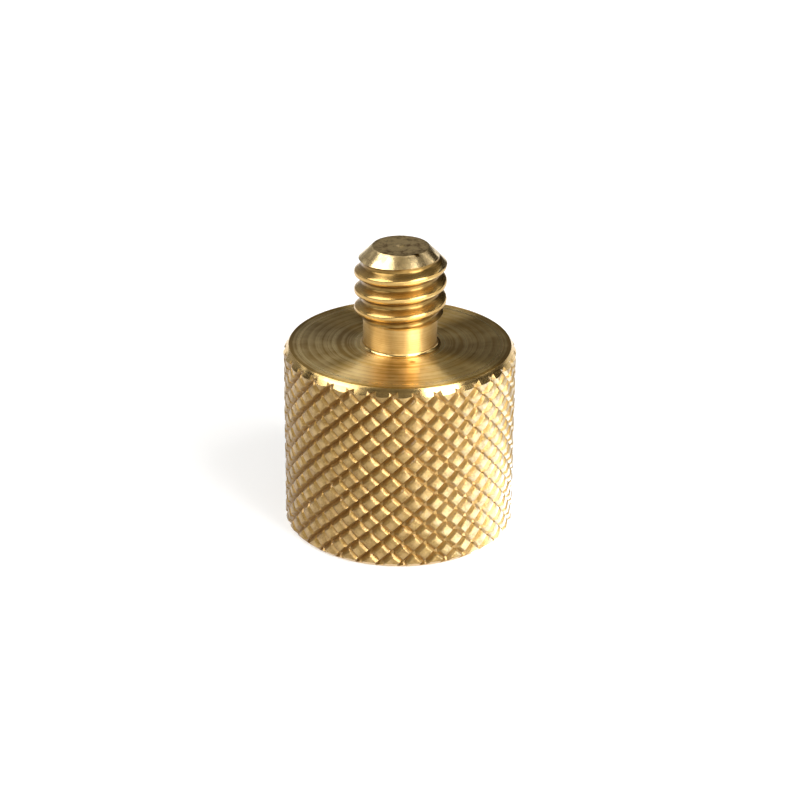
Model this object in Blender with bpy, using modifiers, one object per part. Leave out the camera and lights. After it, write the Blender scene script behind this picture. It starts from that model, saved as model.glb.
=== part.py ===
"""Tripod thread adapter, turned from one brass bar.

A diamond-knurled body stands on its base face, whose centre is the origin. A 3/8 inch
tripod socket is tapped into that face, and a 1/4 inch camera stud stands on the shoulder
at the other end, up the Z axis. Lengths are in metres and angles in radians.
"""

import math

import bmesh
import bpy

# Body
BODY_DIAMETER = 0.01578
BODY_HEIGHT = 0.0131
SHOULDER_CHAMFER_WIDTH = 0.00037
SHOULDER_CHAMFER_DROP = 0.00055
BASE_CHAMFER_WIDTH = 0.00037
BASE_CHAMFER_RISE = 0.00036

# Diamond knurl, two sets of helical grooves that cross and leave flat-topped pads
KNURL_COUNT = 33
KNURL_AXIAL_PITCH = 0.001436
KNURL_DEPTH = 0.00022
RISING_GROOVE_WIDTH = 0.00042
FALLING_GROOVE_WIDTH = 0.00034
CROSSING_ANGLE = math.radians(272.2)
CROSSING_ABOVE_SHOULDER = 0.00023

# Camera stud, measured up from the shoulder; its first crest is taken on the +X side
STUD_DIAMETER = 0.00623
STUD_LENGTH = 0.0070
STUD_PITCH = 0.0254 / 20
STUD_CREST_HEIGHT = 0.00453
STUD_TIP_CHAMFER = 0.001215
NECK_DIAMETER = 0.0050
NECK_LENGTH = 0.0019
NECK_FILLET = 0.0003

# Tripod socket, measured from the base face
SOCKET_DIAMETER = 0.009525
SOCKET_PITCH = 0.0254 / 16
SOCKET_CREST_HEIGHT = 0.0010
SOCKET_DRILL_DIAMETER = 0.00794
SOCKET_MOUTH_DIAMETER = 0.0100
SOCKET_WEB = 0.0018
SOCKET_RUNOUT = 0.0004
DRILL_POINT_ANGLE = math.radians(118)

# Unified thread form, as shares of the pitch
FLANK_ANGLE = math.radians(30)
CREST_SHARE = 1 / 8
ROOT_SHARE = 1 / 4

# Facets around each turned or threaded form
BODY_STEPS = 2 * KNURL_COUNT
STUD_STEPS = 38
SOCKET_STEPS = 40
FILLET_STEPS = 4

# How far a cutting form runs past the surface that it trims
OVERRUN = 0.0004
WELD_DISTANCE = 0.000001

BRASS_COLOUR = (0.72, 0.49, 0.20, 1.0)
BRASS_ROUGHNESS = 0.28

BODY_RADIUS = BODY_DIAMETER / 2
STUD_RADIUS = STUD_DIAMETER / 2
NECK_RADIUS = NECK_DIAMETER / 2
SOCKET_RADIUS = SOCKET_DIAMETER / 2
DRILL_RADIUS = SOCKET_DRILL_DIAMETER / 2
DRILL_POINT_HEIGHT = DRILL_RADIUS / math.tan(DRILL_POINT_ANGLE / 2)
DRILL_DEPTH = BODY_HEIGHT - SOCKET_WEB - DRILL_POINT_HEIGHT
TAP_END_RADIUS = DRILL_RADIUS - OVERRUN
TAP_LEAD = SOCKET_RADIUS - TAP_END_RADIUS
THREAD_DEPTH = DRILL_DEPTH - SOCKET_RUNOUT - TAP_LEAD


def clear_scene():
    """Remove the objects that the scene starts with."""
    for existing in list(bpy.data.objects):
        bpy.data.objects.remove(existing, do_unlink=True)


def new_collection(name):
    """Add a collection under the scene's own."""
    collection = bpy.data.collections.new(name)
    bpy.context.scene.collection.children.link(collection)
    return collection


def brass():
    """Bare turned brass."""
    material = bpy.data.materials.new("turned_brass")
    material.use_nodes = True
    surface = material.node_tree.nodes["Principled BSDF"]
    surface.inputs["Base Color"].default_value = BRASS_COLOUR
    surface.inputs["Metallic"].default_value = 1.0
    surface.inputs["Roughness"].default_value = BRASS_ROUGHNESS
    material.diffuse_color = BRASS_COLOUR
    return material


def turned_form(name, profile, steps, collection):
    """Turn a profile of (radius, height) points, from the top of the axis to its bottom."""
    mesh = bpy.data.meshes.new(name)
    points = [(radius, 0.0, height) for radius, height in profile]
    mesh.from_pydata(points, [(i, i + 1) for i in range(len(points) - 1)], [])
    form = bpy.data.objects.new(name, mesh)
    collection.objects.link(form)
    screw = form.modifiers.new("turn", "SCREW")
    screw.steps = steps
    screw.render_steps = steps
    screw.use_merge_vertices = True
    screw.merge_threshold = WELD_DISTANCE
    return form


def tooth_depth(pitch):
    """Radial depth of the thread, from its crest flat to its root flat."""
    flank_rise = (1 - CREST_SHARE - ROOT_SHARE) * pitch / 2
    return flank_rise / math.tan(FLANK_ANGLE)


def thread_profile(radius, pitch, crest_height, low, high):
    """Axis to axis profile of a threaded rod, over whole pitches that cover low to high."""
    root_radius = radius - tooth_depth(pitch)
    half_crest = CREST_SHARE * pitch / 2
    half_gap = (1 - ROOT_SHARE) * pitch / 2
    first = math.floor((low - crest_height) / pitch) - 1
    last = math.ceil((high - crest_height) / pitch) + 1
    bottom = crest_height + first * pitch - half_gap
    points = [(0.0, bottom)]
    for turn in range(first, last):
        crest = crest_height + turn * pitch
        points.append((root_radius, crest - half_gap))
        points.append((radius, crest - half_crest))
        points.append((radius, crest + half_crest))
        points.append((root_radius, crest + half_gap))
    top = crest_height + last * pitch - half_gap
    points.append((root_radius, top))
    points.append((0.0, top))
    return points


def threaded_rod(name, profile, pitch, steps, collection):
    """Spin the profile one turn while it climbs one pitch, and close the step at each end."""
    rod = bmesh.new()
    chain = [rod.verts.new((radius, 0.0, height)) for radius, height in profile]
    edges = [rod.edges.new(pair) for pair in zip(chain[:-1], chain[1:])]
    bmesh.ops.spin(
        rod,
        geom=chain + edges,
        cent=(0.0, 0.0, 0.0),
        axis=(0.0, 0.0, 1.0),
        dvec=(0.0, 0.0, pitch / steps),
        angle=2 * math.pi,
        steps=steps,
    )
    bmesh.ops.remove_doubles(rod, verts=rod.verts, dist=WELD_DISTANCE)
    bmesh.ops.holes_fill(rod, edges=[edge for edge in rod.edges if edge.is_boundary])
    bmesh.ops.recalc_face_normals(rod, faces=rod.faces)
    return finish_mesh(name, rod, collection)


def finish_mesh(name, form, collection):
    """Turn a bmesh into an object of its own."""
    mesh = bpy.data.meshes.new(name)
    form.to_mesh(mesh)
    form.free()
    finished = bpy.data.objects.new(name, mesh)
    collection.objects.link(finished)
    return finished


def knurl_point(rising, falling, radius):
    """Point on a cylinder where a rising groove and a falling groove of these numbers cross."""
    angle = CROSSING_ANGLE + math.pi * (rising + falling) / KNURL_COUNT
    height = BODY_HEIGHT + CROSSING_ABOVE_SHOULDER + KNURL_AXIAL_PITCH * (falling - rising) / 2
    return (radius * math.cos(angle), radius * math.sin(angle), height)


def knurl_rows():
    """Numbers of the lowest and highest row of pads, which lie beyond the ends of the body."""
    row_height = KNURL_AXIAL_PITCH / 2
    above = OVERRUN - CROSSING_ABOVE_SHOULDER
    below = OVERRUN + CROSSING_ABOVE_SHOULDER + BODY_HEIGHT
    return -math.ceil(below / row_height) - 1, math.ceil(above / row_height) + 1


def pad_insets():
    """Half widths of a rising and a falling groove, as shares of the spacing of the grooves."""
    circumferential_pitch = 2 * math.pi * BODY_RADIUS / KNURL_COUNT
    spacing = KNURL_AXIAL_PITCH * math.sin(math.atan2(circumferential_pitch, KNURL_AXIAL_PITCH))
    return RISING_GROOVE_WIDTH / 2 / spacing, FALLING_GROOVE_WIDTH / 2 / spacing


def groove_crossings(blank, lowest, highest):
    """Vertices where the groove bottoms cross, by rising groove and row."""
    crossings = {}
    for row in range(lowest - 1, highest + 2):
        for rising in range(KNURL_COUNT):
            place = knurl_point(rising, rising + row, BODY_RADIUS - KNURL_DEPTH)
            crossings[rising, row] = blank.verts.new(place)
    return crossings


def add_pad(blank, crossings, rising, falling):
    """One flat-topped pad between two rising and two falling grooves, with its four flanks."""
    rising_inset, falling_inset = pad_insets()
    corners = [(0, 0), (1, 0), (1, 1), (0, 1)]
    foot = []
    top = []
    for right, up in corners:
        row = falling + up - rising - right
        foot.append(crossings[(rising + right) % KNURL_COUNT, row])
        across = rising + right + rising_inset * (1 - 2 * right)
        along = falling + up + falling_inset * (1 - 2 * up)
        top.append(blank.verts.new(knurl_point(across, along, BODY_RADIUS)))
    blank.faces.new(top)
    for side in range(4):
        after = (side + 1) % 4
        blank.faces.new((foot[side], foot[after], top[after], top[side]))


def knurled_blank(name, collection):
    """Barrel of flat-topped pads, a little longer than the body at both ends."""
    lowest, highest = knurl_rows()
    blank = bmesh.new()
    crossings = groove_crossings(blank, lowest, highest)
    for row in range(lowest, highest + 1):
        for rising in range(KNURL_COUNT):
            add_pad(blank, crossings, rising, rising + row)
    bmesh.ops.holes_fill(blank, edges=[edge for edge in blank.edges if edge.is_boundary])
    bmesh.ops.recalc_face_normals(blank, faces=blank.faces)
    return finish_mesh(name, blank, collection)


def body_outline(collection):
    """Turned envelope that faces both ends of the knurled bar and chamfers its corners."""
    shoulder_slope = SHOULDER_CHAMFER_DROP / SHOULDER_CHAMFER_WIDTH
    base_slope = BASE_CHAMFER_RISE / BASE_CHAMFER_WIDTH
    outer = BODY_RADIUS + OVERRUN
    profile = [
        (0.0, BODY_HEIGHT),
        (BODY_RADIUS - SHOULDER_CHAMFER_WIDTH, BODY_HEIGHT),
        (outer, BODY_HEIGHT - SHOULDER_CHAMFER_DROP - OVERRUN * shoulder_slope),
        (outer, BASE_CHAMFER_RISE + OVERRUN * base_slope),
        (BODY_RADIUS - BASE_CHAMFER_WIDTH, 0.0),
        (0.0, 0.0),
    ]
    return turned_form("body_outline", profile, BODY_STEPS, collection)


def neck(collection):
    """Plain relief under the thread, with a fillet into the shoulder and a foot in the body."""
    profile = [(0.0, BODY_HEIGHT + NECK_LENGTH), (NECK_RADIUS, BODY_HEIGHT + NECK_LENGTH)]
    for step in range(FILLET_STEPS + 1):
        turn = math.pi / 2 * step / FILLET_STEPS
        radius = NECK_RADIUS + NECK_FILLET * (1 - math.cos(turn))
        profile.append((radius, BODY_HEIGHT + NECK_FILLET * (1 - math.sin(turn))))
    profile.append((NECK_RADIUS + NECK_FILLET, BODY_HEIGHT - OVERRUN))
    profile.append((0.0, BODY_HEIGHT - OVERRUN))
    return turned_form("neck", profile, STUD_STEPS, collection)


def stud_outline(collection):
    """Turned envelope of the threaded length, with a 45 degree lead at each end."""
    top = BODY_HEIGHT + STUD_LENGTH
    outer = STUD_RADIUS + OVERRUN
    lead_foot = BODY_HEIGHT + NECK_LENGTH
    inner = NECK_RADIUS - OVERRUN
    profile = [
        (0.0, top),
        (STUD_RADIUS - STUD_TIP_CHAMFER, top),
        (outer, top - STUD_TIP_CHAMFER - OVERRUN),
        (outer, lead_foot + outer - NECK_RADIUS),
        (inner, lead_foot - OVERRUN),
        (0.0, lead_foot - OVERRUN),
    ]
    return turned_form("stud_outline", profile, STUD_STEPS, collection)


def camera_stud(collection):
    """Threaded stud with its neck."""
    low = BODY_HEIGHT + NECK_LENGTH - OVERRUN
    high = BODY_HEIGHT + STUD_LENGTH
    crest_height = BODY_HEIGHT + STUD_CREST_HEIGHT
    profile = thread_profile(STUD_RADIUS, STUD_PITCH, crest_height, low, high)
    stud = threaded_rod("camera_stud", profile, STUD_PITCH, STUD_STEPS, collection)
    combine(stud, stud_outline(collection), "INTERSECT")
    combine(stud, neck(collection), "UNION")
    return stud


def socket_drill(collection):
    """Countersunk drilled hole with its pointed end."""
    mouth_radius = SOCKET_MOUTH_DIAMETER / 2
    profile = [
        (0.0, DRILL_DEPTH + DRILL_POINT_HEIGHT),
        (DRILL_RADIUS, DRILL_DEPTH),
        (DRILL_RADIUS, mouth_radius - DRILL_RADIUS),
        (mouth_radius + OVERRUN, -OVERRUN),
        (0.0, -OVERRUN),
    ]
    return turned_form("socket_drill", profile, SOCKET_STEPS, collection)


def tap_outline(collection):
    """Turned envelope of the tap, whose end tapers to less than the drilled hole."""
    outer = SOCKET_RADIUS + OVERRUN
    profile = [
        (0.0, THREAD_DEPTH + TAP_LEAD),
        (TAP_END_RADIUS, THREAD_DEPTH + TAP_LEAD),
        (outer, THREAD_DEPTH - OVERRUN),
        (outer, -OVERRUN),
        (0.0, -OVERRUN),
    ]
    return turned_form("tap_outline", profile, SOCKET_STEPS, collection)


def socket_tap(collection):
    """Threaded form that the tap leaves in the drilled hole."""
    low, high = -OVERRUN, THREAD_DEPTH + TAP_LEAD
    profile = thread_profile(SOCKET_RADIUS, SOCKET_PITCH, SOCKET_CREST_HEIGHT, low, high)
    tap = threaded_rod("socket_tap", profile, SOCKET_PITCH, SOCKET_STEPS, collection)
    combine(tap, tap_outline(collection), "INTERSECT")
    return tap


def combine(target, tool, operation):
    """Add a Boolean modifier, and hide the form that it works with."""
    step = target.modifiers.new(tool.name, "BOOLEAN")
    step.operation = operation
    step.solver = "EXACT"
    step.object = tool
    tool.hide_render = True
    tool.display_type = "WIRE"


def thread_adapter(parts, tools):
    """Knurled bar, faced and chamfered, with the stud added and the socket cut."""
    adapter = knurled_blank("thread_adapter", parts)
    combine(adapter, body_outline(tools), "INTERSECT")
    combine(adapter, camera_stud(tools), "UNION")
    combine(adapter, socket_drill(tools), "DIFFERENCE")
    combine(adapter, socket_tap(tools), "DIFFERENCE")
    adapter.data.materials.append(brass())
    return adapter


def main():
    clear_scene()
    parts = new_collection("tripod_thread_adapter")
    tools = new_collection("cutters")
    thread_adapter(parts, tools)


main()
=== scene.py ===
"""Finish and studio for a tripod thread adapter: one turned, knurled and threaded brass piece.

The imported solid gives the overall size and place. One closed surface replaces it, worked out in
millimetres: a knurled barrel, a camera stud and a tripod socket, joined by Booleans and dressed
by region in machined brass.
"""

import logging
import math
from dataclasses import dataclass
from enum import Enum, IntEnum

import bmesh
import bpy
import numpy as np
from mathutils import Matrix, Vector

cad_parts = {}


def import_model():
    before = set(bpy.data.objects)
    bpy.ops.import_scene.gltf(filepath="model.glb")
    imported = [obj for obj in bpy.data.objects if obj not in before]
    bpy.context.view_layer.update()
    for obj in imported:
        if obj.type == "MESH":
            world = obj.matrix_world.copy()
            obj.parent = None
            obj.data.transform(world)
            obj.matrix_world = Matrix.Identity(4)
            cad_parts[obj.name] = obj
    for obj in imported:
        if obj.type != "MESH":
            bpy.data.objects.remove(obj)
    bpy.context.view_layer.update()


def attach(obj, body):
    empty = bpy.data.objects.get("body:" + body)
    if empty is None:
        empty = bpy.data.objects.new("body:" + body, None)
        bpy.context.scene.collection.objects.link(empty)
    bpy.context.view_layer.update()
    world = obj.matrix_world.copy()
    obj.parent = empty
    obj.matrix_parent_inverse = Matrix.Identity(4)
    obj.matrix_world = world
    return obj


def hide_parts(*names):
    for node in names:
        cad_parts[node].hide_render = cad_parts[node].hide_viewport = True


LOG = logging.getLogger("thread_adapter")
METRES_PER_MM = 0.001
SLIVER_MM = 0.001
NODE = "thread_adapter"
BODY = "root"
TAU = 2.0 * math.pi
LEVEL = (1.0, 1.0, 0.0)
AXIS = (0.0, 0.0, 1.0)
WHITE = "#FFFFFF"
WIDE_NOISE = (0.3, 0.7)
NARROW_NOISE = (0.35, 0.65)
WAVE_STEPS = (12.9898, 78.233)
WAVE_HEIGHT = 43758.5453

Link = bpy.types.NodeSocket
Setting = Link | float | int | str | bool | tuple[float, ...]
Pair = tuple[float, float]
Spot = tuple[float, float, float]
Finishes = list[bpy.types.Material]


class Operation(Enum):
    """How a Boolean joins two closed surfaces."""

    ADD = "UNION"
    CUT = "DIFFERENCE"
    KEEP = "INTERSECT"


class Region(IntEnum):
    """Machined regions of the adapter, in the order of its material slots."""

    KNURL = 0
    FACE = 1
    CHAMFER = 2
    NECK = 3
    THREAD = 4
    SOCKET = 5
    TIP = 6


class Seed(Enum):
    """Offsets that keep the knurl's scatters apart."""

    RISING_DEPTH = 1.7
    FALLING_DEPTH = 5.3
    RISING_DRIFT = 3.3
    FALLING_DRIFT = 8.8
    TILT_ACROSS = 2.1
    TILT_ALONG = 7.9
    SINK = 4.4


def srgb(code: str) -> tuple[float, float, float, float]:
    """Turn an sRGB hex colour to linear by the standard's curve.

    Args:
        code: Six hex digits after a hash.

    Returns:
        Linear red, green, blue and an alpha of one.
    """
    values = np.array([int(code[i : i + 2], 16) for i in (1, 3, 5)]) / 255.0
    linear = np.where(values <= 0.04045, values / 12.92, ((values + 0.055) / 1.055) ** 2.4)
    return (float(linear[0]), float(linear[1]), float(linear[2]), 1.0)


def smooth_max(first: np.ndarray, second: np.ndarray | float, blend: float) -> np.ndarray:
    """Rounded larger length: half of the sum and the root of the gap squared and blend squared."""
    return 0.5 * (first + second + np.sqrt((first - second) ** 2 + blend**2))


def unevenness(first: np.ndarray, second: np.ndarray | float, seed: Seed) -> np.ndarray:
    """Scatter from -1 to 1 for pairs of numbers: twice the fraction of a tall sine, less 1."""
    wave = np.sin(first * WAVE_STEPS[0] + second * WAVE_STEPS[1] + seed.value) * WAVE_HEIGHT
    return 2.0 * (wave - np.floor(wave)) - 1.0


def round_axis(radius: np.ndarray, angle: np.ndarray, height: np.ndarray) -> np.ndarray:
    """Points at r cos t, r sin t, z for each radius r, angle t and height z."""
    return np.stack([radius * np.cos(angle), radius * np.sin(angle), height], axis=-1)


@dataclass(frozen=True)
class Surface:
    """Closed surface: points in millimetres, arrays of the points each face joins, and regions."""

    points: np.ndarray
    faces: tuple[np.ndarray, ...]
    regions: tuple[np.ndarray, ...]

    @classmethod
    def of_region(
        cls, points: np.ndarray, faces: tuple[np.ndarray, ...], region: Region
    ) -> "Surface":
        """Surface whose faces all lie in one region."""
        return cls(points, faces, tuple(np.full(len(group), int(region)) for group in faces))

    def to_object(self, name: str, finishes: Finishes) -> bpy.types.Object:
        """Put the surface into a mesh, in metres, on an object at the origin.

        Args:
            name: Name of the object and its mesh.
            finishes: Materials in the order of the regions.

        Returns:
            The new object, linked to the scene.
        """
        mesh = bpy.data.meshes.new(name)
        faces = [face for group in self.faces for face in group.tolist()]
        mesh.from_pydata((self.points * METRES_PER_MM).tolist(), [], faces)
        for finish in finishes:
            mesh.materials.append(finish)
        slots = np.concatenate(self.regions).astype(np.int32)
        mesh.polygons.foreach_set("material_index", slots)
        mesh.update()
        made = bpy.data.objects.new(name, mesh)
        bpy.context.scene.collection.objects.link(made)
        return made


def grid_faces(rows: np.ndarray) -> np.ndarray:
    """Quads between rings of point numbers, from the lowest ring up, each ring closed."""
    after = np.roll(rows, -1, axis=1)
    return np.stack([rows[:-1], after[:-1], after[1:], rows[1:]], axis=-1).reshape(-1, 4)


def fan_faces(loop: np.ndarray, centre: int) -> np.ndarray:
    """Triangles from a centre point to each side of a loop, anticlockwise from outside."""
    return np.stack([np.full(loop.shape, centre), loop, np.roll(loop, -1)], axis=-1)


def close_ends(
    rings: np.ndarray, low: tuple[np.ndarray, float], high: tuple[np.ndarray, float]
) -> tuple[np.ndarray, np.ndarray, np.ndarray]:
    """Close both ends of a turned surface by fans to two new points on the axis.

    Args:
        rings: Points of the surface.
        low: Loop of point numbers round the lower end, and the height of its new point.
        high: Loop and height of the upper end.

    Returns:
        All the points, the lower fan and the upper fan.
    """
    poles = np.array([[0.0, 0.0, low[1]], [0.0, 0.0, high[1]]])
    points = np.concatenate([rings.reshape(-1, 3), poles])
    return points, fan_faces(low[0], len(points) - 2), fan_faces(high[0], len(points) - 1)


def rounded_profile(corners: list[Spot], arc_steps: int = 5) -> np.ndarray:
    """Profile of straight runs whose corners are rounded by arcs.

    The circle of a corner touches both of its runs. Its centre lies on the line that halves the
    corner, at the radius over the cosine of half the turn, and the arc spans the turn.

    Args:
        corners: Radius, height and rounding of each corner, from the bottom to the top.
        arc_steps: Straight steps in each rounded corner.

    Returns:
        Radius and height of each point, bottom to top.
    """
    places = np.array([corner[:2] for corner in corners])
    outline = [places[:1]]
    for number in range(1, len(corners) - 1):
        here, rounding = places[number], corners[number][2]
        if rounding <= 0.0:
            outline.append(here[None, :])
            continue
        back = places[number - 1] - here
        ahead = places[number + 1] - here
        back, ahead = back / np.linalg.norm(back), ahead / np.linalg.norm(ahead)
        turn = math.pi - math.acos(float(np.clip(back @ ahead, -1.0, 1.0)))
        middle = (back + ahead) / np.linalg.norm(back + ahead)
        across = (ahead - back) / np.linalg.norm(ahead - back)
        centre = here + middle * rounding / math.cos(turn / 2.0)
        spread = np.linspace(-turn / 2.0, turn / 2.0, arc_steps + 1)[:, None]
        outline.append(centre + rounding * (np.sin(spread) * across - np.cos(spread) * middle))
    outline.append(places[-1:])
    return np.concatenate(outline)


def lathe(profile: np.ndarray, steps: int, regions: np.ndarray | Region) -> Surface:
    """Turn a profile about the Z axis.

    A point of the profile at radius r and height z goes to r cos t, r sin t, z for each angle t,
    and the first and last points of the profile lie on the axis as single points.

    Args:
        profile: Radius and height, from the bottom of the axis to its top.
        steps: Facets round the axis.
        regions: Region of each run of the profile, or of them all.

    Returns:
        Closed surface facing out.
    """
    angle = np.arange(steps) * TAU / steps
    rings = round_axis(profile[1:-1, 0:1], angle, profile[1:-1, 1:2] * np.ones(steps))
    numbers = np.arange(rings.shape[0] * steps).reshape(-1, steps)
    points, bottom, top = close_ends(
        rings, (numbers[0][::-1], profile[0, 1]), (numbers[-1], profile[-1, 1])
    )
    marks = np.repeat(np.broadcast_to(regions, len(profile) - 1), steps)
    return Surface(
        points,
        (bottom, grid_faces(numbers), top),
        (marks[:steps], marks[steps:-steps], marks[-steps:]),
    )


@dataclass(frozen=True)
class ThreadForm:
    """Sixty degree thread on a rod, in millimetres, with crest and root as shares of a pitch.

    The points in a profile lie round the crest's edge, in blends, round the root's edge, in
    pitches, and on the flank between its two margins.
    """

    radius: float
    pitch: float
    crest_height: float
    region: Region
    steps: int = 96
    crest_share: float = 0.20
    root_share: float = 0.30
    flank_degrees: float = 30.0
    crest_blend: float = 0.045
    root_blend: float = 0.10
    crest_points: tuple[float, ...] = (-0.62, -0.17, 0.28, 0.85)
    root_points: tuple[float, ...] = (-0.030, 0.0, 0.030, 0.065)
    flank_points: int = 3
    flank_margins: Pair = (0.10, 0.06)

    def depth(self) -> float:
        """Radial depth from the crest flat to the root flat."""
        rise = (1.0 - self.crest_share - self.root_share) * self.pitch / 2.0
        return rise / math.tan(math.radians(self.flank_degrees))

    def phases(self) -> np.ndarray:
        """Places of the points in one pitch from one crest's middle, closest at the corners."""
        crest = self.crest_share / 2.0
        root = 0.5 - self.root_share / 2.0
        top = crest + self.crest_blend / self.pitch * np.array(self.crest_points)
        after, before = self.flank_margins
        flank = np.linspace(crest + after, root - before, self.flank_points)
        half = np.concatenate([[0.0], top, flank, root + np.array(self.root_points)])
        return np.concatenate([half, [0.5], 1.0 - half[:0:-1]])

    def radius_at(self, phase: np.ndarray) -> np.ndarray:
        """Radius of the thread at a place in the pitch.

        The flank falls in a straight line from the crest's edge, and smooth limits round it into
        the crest flat above and the root flat below.

        Args:
            phase: Place in the pitch, 0 or 1 at the crest's middle and 0.5 at the root's.

        Returns:
            Radius in millimetres.
        """
        from_crest = np.minimum(phase, 1.0 - phase) * self.pitch
        run = from_crest - self.crest_share * self.pitch / 2.0
        line = self.radius - run / math.tan(math.radians(self.flank_degrees))
        floored = smooth_max(line, self.radius - self.depth(), self.root_blend)
        return -smooth_max(-floored, -self.radius, self.crest_blend)

    def rod(self, low: float, high: float) -> Surface:
        """Threaded rod over whole pitches that cover a stretch of the axis.

        A profile point at radius r and height z goes to r cos t, r sin t, z + pitch t / 360
        degrees, so that the last column of a turn meets the first column one pitch up.

        Args:
            low: Lowest height to cover.
            high: Highest height to cover.

        Returns:
            Closed surface whose ends are fans to the axis.
        """
        first = math.floor((low - self.crest_height) / self.pitch) - 1
        turns = math.ceil((high - self.crest_height) / self.pitch) + 1 - first
        phases = self.phases()
        per_pitch = len(phases)
        stations = np.concatenate([phases + turn for turn in range(turns)] + [[float(turns)]])
        radius = self.radius_at(stations - np.floor(stations))[:, None]
        height = (self.crest_height + (first + stations) * self.pitch)[:, None]
        share = np.arange(self.steps) / self.steps
        rings = round_axis(radius, share * TAU, height + self.pitch * share)
        last = rings.shape[0] - 1
        numbers = np.arange(rings.shape[0] * self.steps).reshape(-1, self.steps)
        beyond = np.roll(numbers[:, :1], -per_pitch, axis=0)
        after = np.concatenate([numbers[:, 1:], beyond], axis=1)
        quads = np.stack([numbers[:-1], after[:-1], after[1:], numbers[1:]], axis=-1)
        whole = np.ones(quads.shape[:2], dtype=bool)
        whole[-per_pitch:, -1] = False
        low_loop = np.concatenate([numbers[0], numbers[per_pitch:0:-1, 0]])
        high_loop = np.concatenate([numbers[last], numbers[last - per_pitch : last, -1][::-1]])
        low_end, high_end = (float(height[row, 0] + 0.5 * self.pitch) for row in (0, -1))
        points, bottom, top = close_ends(
            rings, (low_loop[::-1], low_end), (high_loop, high_end)
        )
        return Surface.of_region(points, (bottom, quads[whole], top), self.region)


def combine(
    target: bpy.types.Object, tool: bpy.types.Object, operation: Operation
) -> bpy.types.Object:
    """Join two closed surfaces by an exact Boolean and keep the result in the target's mesh.

    Args:
        target: Object whose mesh takes the result.
        tool: Object that is joined to it and then removed.
        operation: Way of joining.

    Returns:
        The target.
    """
    step = target.modifiers.new("join", "BOOLEAN")
    step.operation = operation.value
    step.solver = "EXACT"
    step.object = tool
    graph = bpy.context.evaluated_depsgraph_get()
    result = bpy.data.meshes.new_from_object(target.evaluated_get(graph))
    target.modifiers.clear()
    spent = [target.data, tool.data]
    target.data = result
    bpy.data.objects.remove(tool)
    for mesh in spent:
        bpy.data.meshes.remove(mesh)
    return target


def close_slivers(mesh: bpy.types.Mesh) -> None:
    """Split a closed mesh into triangles and close the slivers that exact Booleans leave.

    Args:
        mesh: Joined mesh, changed in place.
    """
    joined = bmesh.new()
    joined.from_mesh(mesh)
    bmesh.ops.triangulate(joined, faces=joined.faces[:])
    bmesh.ops.dissolve_degenerate(joined, dist=SLIVER_MM * METRES_PER_MM, edges=joined.edges[:])
    bmesh.ops.triangulate(joined, faces=joined.faces[:])
    joined.to_mesh(mesh)
    joined.free()


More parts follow.
